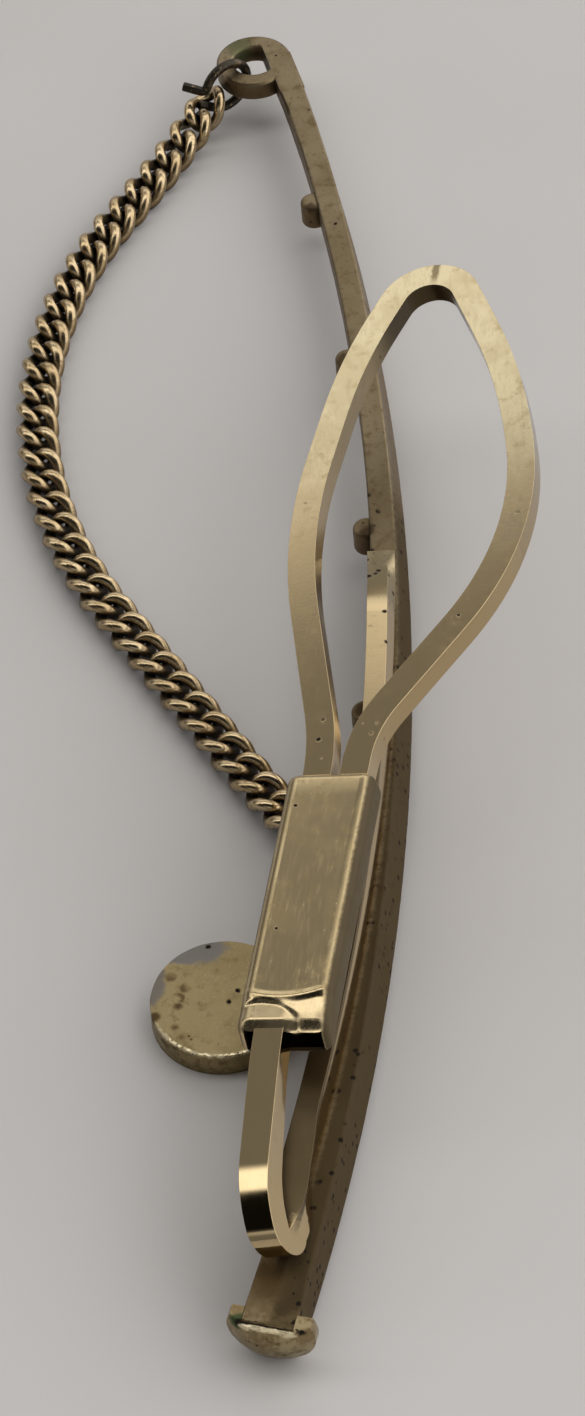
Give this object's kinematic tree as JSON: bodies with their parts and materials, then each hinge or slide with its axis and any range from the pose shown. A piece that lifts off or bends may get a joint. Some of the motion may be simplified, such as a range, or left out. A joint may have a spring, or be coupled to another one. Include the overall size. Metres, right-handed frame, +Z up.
{
  "type": "tie clip",
  "caption": "Tie clip shaped as a bowed fishing rod with a reel, a sprung wire loop that grips the tie and a curb chain hung as the line from the tip to the reel.",
  "frame": {"origin": "middle of the reel's front face, which rests on the table", "axes": "+Y along the rod from butt to tip, +X away from the chain, +Z up, out of the clip's back"},
  "size_m": [0.0206, 0.0655, 0.0078],
  "materials": {
    "rod": "satin cast brass with a worn gilt finish",
    "reel": "satin brass, worn grey at the rim",
    "clip": "drawn gilt wire, half polished",
    "sleeve": "rolled gilt sheet, half polished",
    "chain": "gilt wire, darker and redder than the rod",
    "ring": "darkened brass wire"
  },
  "bodies": {
    "rod_body": {"rod": "rod", "reel": "reel", "butt_cap": "rod", "spring_leg": "clip"},
    "clip": {"clip_wire": "clip", "sleeve": "sleeve"},
    "chain": {"tip_ring": "ring", "chain_link_01": "chain", "chain_link_02": "chain", "chain_link_03": "chain", "chain_link_04": "chain", "chain_link_05": "chain", "chain_link_06": "chain", "chain_link_07": "chain", "chain_link_08": "chain", "chain_link_09": "chain", "chain_link_10": "chain", "chain_link_11": "chain", "chain_link_12": "chain", "chain_link_13": "chain", "chain_link_14": "chain", "chain_link_15": "chain", "chain_link_16": "chain", "chain_link_17": "chain", "chain_link_18": "chain", "chain_link_19": "chain", "chain_link_20": "chain", "chain_link_21": "chain", "chain_link_22": "chain", "chain_link_23": "chain", "chain_link_24": "chain", "chain_link_25": "chain", "chain_link_26": "chain", "chain_link_27": "chain", "chain_link_28": "chain", "chain_link_29": "chain", "chain_link_30": "chain", "chain_link_31": "chain", "chain_link_32": "chain", "chain_link_33": "chain", "chain_link_34": "chain", "chain_link_35": "chain", "chain_link_36": "chain", "chain_link_37": "chain", "end_ring": "ring"}
  },
  "joints": [
    {"name": "clip_flex", "type": "hinge", "parent": "rod_body", "child": "clip", "pos_m": [0.0014, -0.0119, 0.00326], "axis": [0.9737, -0.0939, 0.2077], "range_deg": [-4, 14], "stiffness_Nm_per_rad": 0.1},
    {"name": "chain_swing", "type": "hinge", "parent": "rod_body", "child": "chain", "pos_m": [0.00381, 0.00585, 0.00183], "axis": [-0.0734, 0.9973, -0.0024], "range_deg": [-25, 32]}
  ]
}
